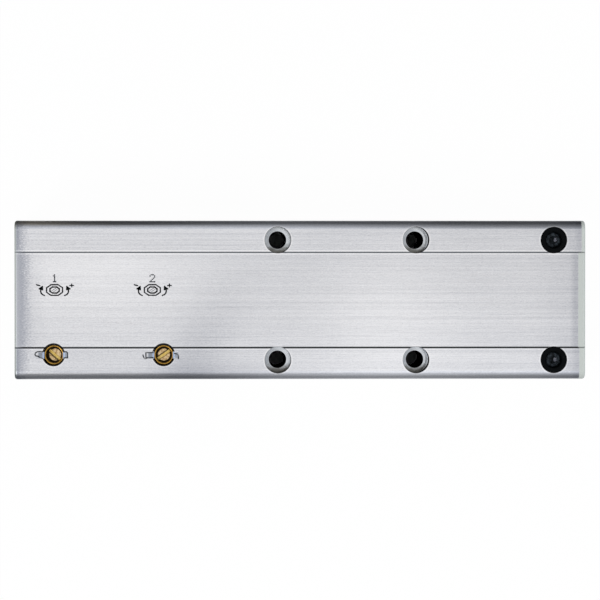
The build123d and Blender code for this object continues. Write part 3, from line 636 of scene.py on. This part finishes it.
def screw_brass(name, centre, slot_angle, shaded_side, spot_shift):
    """Slotted brass screw: a pale worn top, a bright slot with painted shadow along its edges, deepest
    along one side, and painted shade round it below the top.
    """
    shader = Shader(name)
    across = shader.math("SUBTRACT", shader.x, centre.x / MM)
    along = shader.math("SUBTRACT", shader.y, centre.y / MM)
    turn = math.radians(slot_angle)
    sideways = shader.total(shader.product(across, -math.sin(turn)), shader.product(along, math.cos(turn)))
    off_slot = shader.math("ABSOLUTE", sideways)
    worn_radius = shader.length(shader.math("SUBTRACT", across, spot_shift), along)
    blotch = shader.noise(shader.stretched(1.3, 1.3, 1.3), 3.0)
    grain = shader.noise(shader.stretched(4.5, 4.5, 4.5), 2.0)
    top = shader.mix_colour(shader.rise(blotch, 0.35, 0.65), SCREW_TOP_DARK, SCREW_TOP_LIGHT)
    top_share = shader.rise(shader.z, screw_top_mm - 0.3, screw_top_mm - 0.1)
    worn = shader.product(shader.rise(worn_radius, 2.34, 2.2), top_share)
    floor_share = shader.total(shader.product(blotch, 0.5), shader.product(grain, 0.5))
    slot_floor = shader.mix_colour(shader.rise(floor_share, 0.38, 0.6), SLOT_FLOOR_DARK, SLOT_FLOOR_LIGHT)
    in_slot = shader.product(
        shader.rise(off_slot, 0.57, 0.5),
        shader.rise(shader.z, screw_top_mm - 1.3, screw_top_mm - 1.5),
        shader.rise(worn_radius, 2.85, 2.7),
    )
    # Below the top the brass is painted dark as shade
    colour = shader.mix_colour(grain, BRASS_SHADE_BLACK, BRASS_SHADE_BROWN)
    colour = shader.mix_colour(worn, colour, top)
    # Painted shadow along the slot's edges, deepest on the shaded side
    slot_shadow = shader.line(shader.product(sideways, shaded_side), 0.76, 0.36)
    slot_edge_shadow = shader.product(shader.line(off_slot, 0.58, 0.13), 0.85)
    colour = shader.mix_colour(shader.largest(slot_shadow, slot_edge_shadow), colour, BRASS_SHADE_BLACK)
    colour = shader.mix_colour(in_slot, colour, slot_floor)
    shader.bump(shader.total(blotch, grain), 0.015 * MM)
    return shader.finish(Base_Color=colour, Metallic=1.0, Roughness=0.28)


def matt_black(name, tone, rough, gloss):
    """Dark moulded or oxided surface with a fine grain and a few pale specks."""
    shader = Shader(name)
    fine = shader.noise(shader.stretched(2.5, 2.5, 2.5), 4.0, 0.6)
    blotch = shader.noise(shader.stretched(0.5, 0.5, 0.5), 2.0)
    specks = shader.rise(shader.noise(shader.stretched(5.5, 5.5, 5.5), 1.0), 0.76, 0.82)
    base = shader.mix_colour(blotch, grey(tone * 0.6, 0.15), grey(tone * 1.5, 0.22))
    base = shader.mix_colour(shader.product(specks, 0.3), base, grey(0.3))
    roughness = shader.math("MULTIPLY_ADD", fine, 0.2, rough - 0.1)
    shader.bump(fine, 0.02 * MM)
    return shader.finish(Base_Color=base, Metallic=0.0, Roughness=roughness, Specular_IOR_Level=gloss)


# Painted glint at the bottom of the anchor screws' sockets
SOCKET_GLINT = (0.42, 0.425, 0.48, 1.0)


def anchor_socket_steel():
    """Blackened socket screw, with a painted glint at the bottom of its socket and painted shade round the
    rim of its head.
    """
    shader = Shader("anchor_black_steel")
    across = shader.math("SUBTRACT", shader.x, anchor.x / MM)
    along = shader.math("SUBTRACT", shader.math("ABSOLUTE", shader.y), anchor.y / MM)
    fine = shader.noise(shader.stretched(4.0, 4.0, 4.0), 4.0, 0.6)
    blotch = shader.noise(shader.stretched(0.9, 0.9, 0.9), 2.0)
    chips = shader.rise(shader.noise(shader.stretched(3.2, 3.2, 3.2), 1.0), 0.7, 0.76)
    spot_x = shader.math("DIVIDE", shader.math("SUBTRACT", across, 1.1), 0.8)
    spot_y = shader.math("DIVIDE", shader.math("SUBTRACT", along, 0.1), 1.15)
    spot = shader.rise(shader.length(spot_x, spot_y), 1.0, 0.45)
    socket = shader.rise(shader.z, anchor_screw_top_mm - 0.6, anchor_screw_top_mm - 0.9)
    glint = shader.product(spot, socket, shader.rise(fine, 0.3, 0.6))
    colour = shader.mix_colour(shader.rise(blotch, 0.3, 0.7), grey(0.010, 0.15), grey(0.06, 0.2))
    colour = shader.mix_colour(shader.product(chips, shader.inverse(socket), 0.35), colour, grey(0.2, 0.1))
    # Painted shade round the screw's rim
    rim = shader.rise(shader.length(across, along), 2.7, 3.1)
    colour = shader.mix_colour(rim, colour, HOLE_SHADE_BLACK)
    colour = shader.mix_colour(glint, colour, SOCKET_GLINT)
    shader.bump(fine, 0.02 * MM)
    return shader.finish(Base_Color=colour, Metallic=glint, Roughness=0.4, Specular_IOR_Level=0.06)


def wear(node, material):
    """Give a CAD node its material."""
    mesh = frame["nodes"][node].data
    mesh.materials.clear()
    mesh.materials.append(material)


spindle_centre = middle("spindle")
bore_centre = middle("left_end_cap")
steel_dark, steel_light = grey(0.42, 0.01), grey(0.66, 0.01)
zinc_dark, zinc_light = grey(0.46, 0.01), grey(0.68, 0.015)

wear("housing", Housing().extruded_aluminium())
zinc_x = turned_metal("zinc_plate_end_caps", zinc_dark, zinc_light, 0.34, "X", bore_centre, 0.5)
zinc_y = turned_metal("zinc_plate_bearing_caps", zinc_dark, zinc_light, 0.32, "Y", spindle_centre, 0.4)
ground_y = turned_metal("ground_steel_spindle", steel_dark, steel_light, 0.24, "Y", spindle_centre, 0.25)
ground_x = turned_metal("ground_steel_small", steel_dark, steel_light, 0.2, "X", bore_centre, 0.3)
spring_steel = turned_metal("spring_steel", grey(0.10, 0.02), grey(0.24, 0.02), 0.38, "X", bore_centre, 0.8)
piston_iron = turned_metal("piston_iron", grey(0.20), grey(0.36), 0.4, "X", bore_centre, 0.4)
seal_rubber = matt_black("seal_rubber", 0.02, 0.55, 0.4)
seal_ring = matt_black("filled_seal_ring", 0.09, 0.5, 0.4)
anchor_black = matt_black("anchor_black", 0.002, 0.55, 0.035)
anchor_steel = anchor_socket_steel()

for node in ("left_end_cap", "right_end_cap"):
    wear(node, zinc_x)
for node in ("gallery_plugs", "check_ball", "check_ball_retainer", "relief_ball", "relief_screw"):
    wear(node, ground_x)
for end in ("upper", "lower"):
    wear(f"{end}_bearing_cap", zinc_y)
    wear(f"{end}_bearing_cup", ground_y)
    wear(f"{end}_bearing_needles", ground_y)
    wear(f"{end}_spindle_seal", seal_rubber)
    wear(f"{end}_anchor_sleeve", anchor_black)
    wear(f"{end}_anchor_screw", anchor_steel)
for valve, centre in valves.items():
    wear(f"{valve}_valve_collar", collar_brass(f"{valve}_collar_brass", centre))
    shaded_side, spot_shift = (-1, 0.25) if valve == "latching" else (1, 0.0)
    brass = screw_brass(f"{valve}_screw_brass", centre, slot_angles[valve], shaded_side, spot_shift)
    wear(f"{valve}_valve_screw", brass)
    wear(f"{valve}_valve_o_ring", seal_rubber)
for node in ("main_spring", "relief_spring"):
    wear(node, spring_steel)
for node in ("left_cap_o_ring", "right_cap_o_ring"):
    wear(node, seal_rubber)
wear("spindle", ground_y)
wear("piston", piston_iron)
wear("piston_seal", seal_ring)


# Coil springs with closed, ground ends, which ride on their bodies


def new_piece(name, shape, material, body):
    """Turn a bmesh into a smooth-shaded piece that rides on a body."""
    mesh = bpy.data.meshes.new(name)
    shape.to_mesh(mesh)
    shape.free()
    mesh.materials.append(material)
    for polygon in mesh.polygons:
        polygon.use_smooth = True
    piece = bpy.data.objects.new(name, mesh)
    bpy.context.scene.collection.objects.link(piece)
    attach(piece, body)
    return piece


# How far inside its CAD box each ground end stays, as a share of the wire
GROUND_SHARE = 0.02


def coil_spring(name, node, wire, turns, body):
    """Replace a CAD spring with a coil along X whose end turns are closed and ground flat."""
    low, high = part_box(node)
    centre = (low + high) / 2
    mean_radius = (high.y - low.y - wire) / 2
    active_turns = turns - 2
    pitch = (high.x - low.x - 3 * wire) / active_turns
    ground = wire * GROUND_SHARE
    steps_per_turn, section_points = 48, 16
    shape = bmesh.new()
    rings = []
    for step in range(turns * steps_per_turn + 1):
        turned = step / steps_per_turn
        closed_start = min(turned, 1.0) * wire
        opened = min(max(turned - 1.0, 0.0), active_turns) * pitch
        closed_end = max(turned - 1.0 - active_turns, 0.0) * wire
        x = low.x + wire / 2 + closed_start + opened + closed_end
        angle = 2 * math.pi * turned
        ring = []
        for point in range(section_points):
            around = 2 * math.pi * point / section_points
            radius = mean_radius + wire / 2 * math.cos(around)
            along = min(max(x + wire / 2 * math.sin(around), low.x + ground), high.x - ground)
            across, up = radius * math.cos(angle), radius * math.sin(angle)
            ring.append(shape.verts.new((along, centre.y + across, centre.z + up)))
        rings.append(ring)
    for first, second in zip(rings, rings[1:]):
        for point in range(section_points):
            after = (point + 1) % section_points
            shape.faces.new((first[point], first[after], second[after], second[point]))
    shape.faces.new(rings[0])
    shape.faces.new(reversed(rings[-1]))
    bmesh.ops.recalc_face_normals(shape, faces=shape.faces)
    piece = new_piece(name, shape, spring_steel, body)
    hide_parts(node)
    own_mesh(piece)


main_wire, main_turns = 5.5 * MM, 12
relief_wire, relief_turns = 0.6 * MM, 6
coil_spring("main_coil", "main_spring", main_wire, main_turns, "housing_body")
coil_spring("relief_coil", "relief_spring", relief_wire, relief_turns, "piston_body")


# Printed marks on the front: a number and a turning symbol for each valve, as overlapping dots of ink


DOT_RADIUS = 0.27
INK_SUNK = 0.05
INK_PROUD = 0.01


class Marks:
    """Dots of ink on the front, placed in millimetres."""

    def __init__(self, seed):
        self.chance = random.Random(seed)
        self.shape = bmesh.new()

    def dot(self, x, y, radius):
        """A thin round dot that stands just proud of the face, for it to show."""
        radius *= self.chance.uniform(0.86, 1.12)
        x += self.chance.uniform(-0.025, 0.025)
        y += self.chance.uniform(-0.025, 0.025)
        corners = 10
        rim = []
        for height in (-INK_SUNK, INK_PROUD):
            ring = []
            for corner in range(corners):
                angle = 2 * math.pi * corner / corners
                place = (x + radius * math.cos(angle), y + radius * math.sin(angle), front_mm + height)
                ring.append(self.shape.verts.new(Vector(place) * MM))
            rim.append(ring)
        lower, upper = rim
        self.shape.faces.new(upper)
        self.shape.faces.new(reversed(lower))
        for corner in range(corners):
            after = (corner + 1) % corners
            self.shape.faces.new((lower[corner], lower[after], upper[after], upper[corner]))

    def stroke(self, points, radius=DOT_RADIUS, spacing=0.24):
        """Dots along the straight runs between points."""
        for (start_x, start_y), (end_x, end_y) in zip(points, points[1:]):
            run = math.hypot(end_x - start_x, end_y - start_y)
            steps = max(1, round(run / spacing))
            for step in range(steps + 1):
                share = step / steps
                self.dot(start_x + (end_x - start_x) * share, start_y + (end_y - start_y) * share, radius)

    def octagon(self, x, y, half_width, half_height, radius=DOT_RADIUS):
        """Stretched octagon with flat top, bottom and sides."""
        flat_x, flat_y = 0.45 * half_width, 0.42 * half_height
        quarter = [(flat_x, half_height), (half_width, flat_y)]
        points = quarter + [(px, -py) for px, py in reversed(quarter)]
        points += [(-px, -py) for px, py in quarter] + [(-px, py) for px, py in reversed(quarter)]
        self.stroke([(x + px, y + py) for px, py in points + points[:1]], radius)

    def turning_symbol(self, x, y):
        """A slotted screw head between two curved arrows, with minus and plus."""
        self.octagon(x, y, 3.0, 2.0)
        self.octagon(x, y, 1.75, 1.15, 0.3)
        for shift in (-0.25, 0.25):
            slot_edge = [(x - 0.7 + shift, y - 0.45 - shift), (x + 0.7 + shift, y + 0.45 - shift)]
            self.stroke(slot_edge, 0.13, 0.3)
        for way in (-1, 1):
            tail = [(3.8, -2.05), (4.6, -1.7), (5.1, -1.1), (5.25, -0.4), (5.2, 0.2)]
            self.stroke([(x + way * px, y + py) for px, py in tail])
            head = [(4.6, 1.3), (5.75, 0.45), (4.55, 0.1), (4.6, 1.3)]
            self.stroke([(x + way * px, y + py) for px, py in head])
            self.stroke([(x + way * 4.8, y + 0.7), (x + way * 5.2, y + 0.4)])
        self.stroke([(x - 6.8, y + 1.95), (x - 5.5, y + 1.65)])
        self.stroke([(x + 5.75, y + 1.7), (x + 7.15, y + 1.7)], 0.24)
        self.stroke([(x + 6.45, y + 1.2), (x + 6.45, y + 2.2)], 0.24)

    def number(self, x, y, rows, pitch=0.44):
        """A figure on a grid of dots, from rows of text where a hash is a dot."""
        for down, row in enumerate(rows):
            for across, mark in enumerate(row):
                if mark == "#":
                    self.dot(x + across * pitch, y - down * pitch, DOT_RADIUS)


FIGURES = {
    "1": ("..#..", ".##..", "..#..", "..#..", "..#..", "..#..", ".###."),
    "2": (".###.", "#...#", "....#", "...#.", "..#..", ".#...", "#####"),
}

ink = matt_black("ink", 0.03, 0.6, 0.2)
figure_left, figure_up = 0.88, 5.75
for valve, figure, symbol_x, symbol_y in (("latching", "1", -92.83, 3.8), ("closing", "2", -56.0, 3.8)):
    marks = Marks(seed=7)
    marks.turning_symbol(symbol_x, symbol_y)
    marks.number(symbol_x - figure_left, symbol_y + figure_up, FIGURES[figure])
    piece = new_piece(f"{valve}_mark", marks.shape, ink, "housing_body")
    for polygon in piece.data.polygons:
        polygon.use_smooth = False


# Studio


def box_mesh(name, low, high):
    """Flat-sided stage piece between two corners."""
    mesh = bpy.data.meshes.new(name)
    shape = bmesh.new()
    bmesh.ops.create_cube(shape, size=1.0)
    for vertex in shape.verts:
        vertex.co = Vector(low[i] if vertex.co[i] < 0 else high[i] for i in range(3))
    shape.to_mesh(mesh)
    shape.free()
    stage_piece = bpy.data.objects.new(name, mesh)
    bpy.context.scene.collection.objects.link(stage_piece)
    return stage_piece


def seen_rays(tree):
    """1 for rays that look at the background: from the camera, a reflection or a clear material."""
    path = tree.nodes.new("ShaderNodeLightPath")
    seen = path.outputs["Is Camera Ray"]
    for kind in ("Is Glossy Ray", "Is Transmission Ray"):
        either = tree.nodes.new("ShaderNodeMath")
        either.operation = "MAXIMUM"
        tree.links.new(seen, either.inputs[0])
        tree.links.new(path.outputs[kind], either.inputs[1])
        seen = either.outputs[0]
    return seen


WHITE_SHARE = 0.97
FLOOR_SHOWS_WITHIN = 3.0
FLOOR_WHITE_FROM = 0.5


def floor_material():
    """Pale matt floor that shows as white, but for a share of the object's shadow."""
    shader = Shader("pale_floor")
    tree = shader.tree
    shade = shader.noise(shader.stretched(0.004, 0.004, 0.004), 2.0)
    tone = shader.mix_colour(shade, grey(0.80), grey(0.84))
    shader.finish(Base_Color=tone, Roughness=0.9, Specular_IOR_Level=0.0)
    white = tree.nodes.new("ShaderNodeEmission")
    white.inputs["Strength"].default_value = 1.0
    beyond = []
    for place, edge in ((shader.x, end_mm), (shader.y, side_mm)):
        from_middle = shader.math("ABSOLUTE", place)
        beyond.append(shader.rise(from_middle, edge - FLOOR_SHOWS_WITHIN, edge - FLOOR_WHITE_FROM))
    outside = shader.largest(*beyond)
    share = shader.product(outside, seen_rays(tree), WHITE_SHARE)
    blend = tree.nodes.new("ShaderNodeMixShader")
    tree.links.new(share, blend.inputs[0])
    tree.links.new(shader.surface.outputs[0], blend.inputs[1])
    tree.links.new(white.outputs[0], blend.inputs[2])
    tree.links.new(blend.outputs[0], tree.nodes["Material Output"].inputs["Surface"])
    return shader.material


floor_half, floor_bottom, floor_top = 6.0, -0.02, -0.0002
floor = box_mesh("floor", (-floor_half, -floor_half, floor_bottom), (floor_half, floor_half, floor_top))
floor.data.materials.append(floor_material())


COOL_CARD = (0.93, 0.985, 1.09, 1.0)
WARM_CARD = (1.05, 1.0, 0.86, 1.0)


def flag(name, low, high, tone_at, colour_at):
    """Card that only reflections see, as a photographer shades one side of bright metal."""
    shader = Shader(name)
    glow = shader.add("ShaderNodeEmission", {}, {"Color": colour_at(shader), "Strength": tone_at(shader)})
    shader.tree.links.new(glow.outputs[0], shader.tree.nodes["Material Output"].inputs["Surface"])
    shader.material.cycles.emission_sampling = "NONE"
    card = box_mesh(name, low, high)
    card.data.materials.append(shader.material)
    card.visible_camera = False
    card.visible_diffuse = False
    card.visible_shadow = False


def upper_share(shader):
    """The upper cards are darker along the left half, but for its end, and along the right half."""
    left_half = shader.mix(shader.rise(shader.x, -75.0, -12.0), 0.43, 0.98)
    left_end = shader.product(shader.rise(shader.x, -86.0, -114.0), 0.7)
    return shader.total(left_half, left_end, shader.product(shader.rise(shader.x, 8.0, 75.0), -0.26))


def lower_share(shader):
    """The lower cards are darker along the left half, and slightly so at the right end."""
    left_half = shader.mix(shader.rise(shader.x, -27.0, -11.0), 0.62, 0.98)
    return shader.product(left_half, shader.mix(shader.rise(shader.x, 40.0, 108.0), 1.0, 0.85))


def warm_left(shader):
    """Cool, but warm at the left end."""
    return shader.mix_colour(shader.rise(shader.x, -80.0, -104.0), COOL_CARD, WARM_CARD)


def cool(shader):
    return COOL_CARD


def wall_tone(bottom, top, share_at):
    """Tone of an upright card, from its foot to its top edge, where it varies more along X."""

    def tone(shader):
        share = share_at(shader)
        upwards = shader.rise(shader.z, front_mm, wall_height / MM)
        return shader.product(shader.mix(upwards, bottom, shader.product(share, top)), share)

    return tone


def ceiling_tone(start_and_fall_at):
    """Tone of a card overhead: white up to its start, and half as light one fall further out."""

    def tone(shader):
        start, fall = start_and_fall_at(shader)
        outwards = shader.math("SUBTRACT", shader.math("ABSOLUTE", shader.y), start)
        return shader.math("DIVIDE", fall, shader.math("MAXIMUM", shader.total(outwards, fall), fall))

    return tone


def upper_ceiling(shader):
    """Start and fall of the upper card in millimetres. It falls soonest at the right."""
    middle_fall = shader.mix(shader.rise(shader.x, -80.0, -45.0), 250.0, 530.0)
    return 40.0, shader.total(middle_fall, shader.product(shader.rise(shader.x, -5.0, 85.0), -445.0))


def lower_ceiling(shader):
    """Start and fall of the lower card in millimetres. It falls soonest along the left half."""
    right_half = shader.rise(shader.x, -27.0, -11.0)
    return shader.mix(right_half, 85.0, 110.0), shader.mix(right_half, 85.0, 520.0)


side = housing_high.y
wall_y, wall_height, wall_half_length = 0.140, 0.120, 0.5
ceiling_z, ceiling_start, ceiling_end = 0.5, 0.06, 0.7
floor_card_half_length = 0.3
thin = 0.001
for flag_name, way, wall_tones, ceiling, floor_tone, share_at, colour_at in (
    ("upper", 1, (0.08, 0.3), upper_ceiling, 0.11, upper_share, warm_left),
    ("lower", -1, (0.255, 0.46), lower_ceiling, 0.3, lower_share, cool),
):
    near, far = sorted((way * wall_y, way * (wall_y + thin)))
    low, high = (-wall_half_length, near, 0.0), (wall_half_length, far, wall_height)
    flag(f"{flag_name}_wall", low, high, wall_tone(*wall_tones, share_at), colour_at)
    near, far = sorted((way * ceiling_start, way * ceiling_end))
    low, high = (-wall_half_length, near, ceiling_z), (wall_half_length, far, ceiling_z + thin)
    flag(f"{flag_name}_ceiling", low, high, ceiling_tone(ceiling), cool)
    near, far = sorted((way * (side + 2 * thin), way * wall_y))
    low, high = (-floor_card_half_length, near, 0.0), (floor_card_half_length, far, thin)
    floor_card = wall_tone(floor_tone, floor_tone, share_at)
    flag(f"{flag_name}_floor", low, high, floor_card, colour_at)


def area_lamp(name, place, target, size, power):
    """Round soft lamp that points at a target."""
    data = bpy.data.lights.new(name, "AREA")
    data.shape = "DISK"
    data.size = size
    data.energy = power
    lamp = bpy.data.objects.new(name, data)
    bpy.context.scene.collection.objects.link(lamp)
    lamp.location = place
    lamp.rotation_euler = (Vector(target) - Vector(place)).to_track_quat("-Z", "Y").to_euler()


centre = Vector((0.0, 0.0, front / 2))
area_lamp("key", (-0.7, -0.6, 1.1), centre, 0.5, 7.0)
area_lamp("fill", (0.8, -0.2, 0.9), centre, 0.5, 3.0)

# The world lights evenly. As a backdrop it is white to the camera and a little less so in reflections
light_strength = 0.75
reflected_white = 0.8
world = bpy.data.worlds.new("studio")
bpy.context.scene.world = world
world.use_nodes = True
world_tree = world.node_tree
light = world_tree.nodes["Background"]
light.inputs["Color"].default_value = (0.95, 0.97, 1.0, 1.0)
light.inputs["Strength"].default_value = light_strength
backdrop = world_tree.nodes.new("ShaderNodeBackground")
backdrop.inputs["Color"].default_value = (1.0, 1.0, 1.0, 1.0)
rays = world_tree.nodes.new("ShaderNodeLightPath")
backdrop_tone = world_tree.nodes.new("ShaderNodeMath")
backdrop_tone.operation = "MULTIPLY_ADD"
backdrop_tone.inputs[1].default_value = 1.0 - reflected_white
backdrop_tone.inputs[2].default_value = reflected_white
world_tree.links.new(rays.outputs["Is Camera Ray"], backdrop_tone.inputs[0])
world_tree.links.new(backdrop_tone.outputs[0], backdrop.inputs["Strength"])
choice = world_tree.nodes.new("ShaderNodeMixShader")
world_tree.links.new(seen_rays(world_tree), choice.inputs[0])
world_tree.links.new(light.outputs[0], choice.inputs[1])
world_tree.links.new(backdrop.outputs[0], choice.inputs[2])
world_tree.links.new(choice.outputs[0], world_tree.nodes["World Output"].inputs["Surface"])


# Camera, a little left of and above the middle and turned towards it

camera_distance = 1.1
camera_yaw = math.radians(1.6)
camera_rise = math.radians(0.8)
pixels_per_metre = 2645.4
image_width = 600
camera_data = bpy.data.cameras.new("camera")
camera_data.sensor_width = 36.0
camera_data.lens = camera_data.sensor_width * pixels_per_metre * camera_distance / image_width
camera_data.clip_start = 0.05
camera_data.clip_end = 50.0
camera = bpy.data.objects.new("camera", camera_data)
bpy.context.scene.collection.objects.link(camera)
aim = Vector((-0.25 * MM, 0.0, front))
across, up = math.sin(camera_yaw) * math.cos(camera_rise), math.cos(camera_yaw) * math.cos(camera_rise)
camera.location = aim + Vector((-across, math.sin(camera_rise), up)) * camera_distance
camera.rotation_euler = (-camera_rise, -camera_yaw, 0.0)
bpy.context.scene.camera = camera
bpy.context.scene.view_settings.view_transform = "Standard"
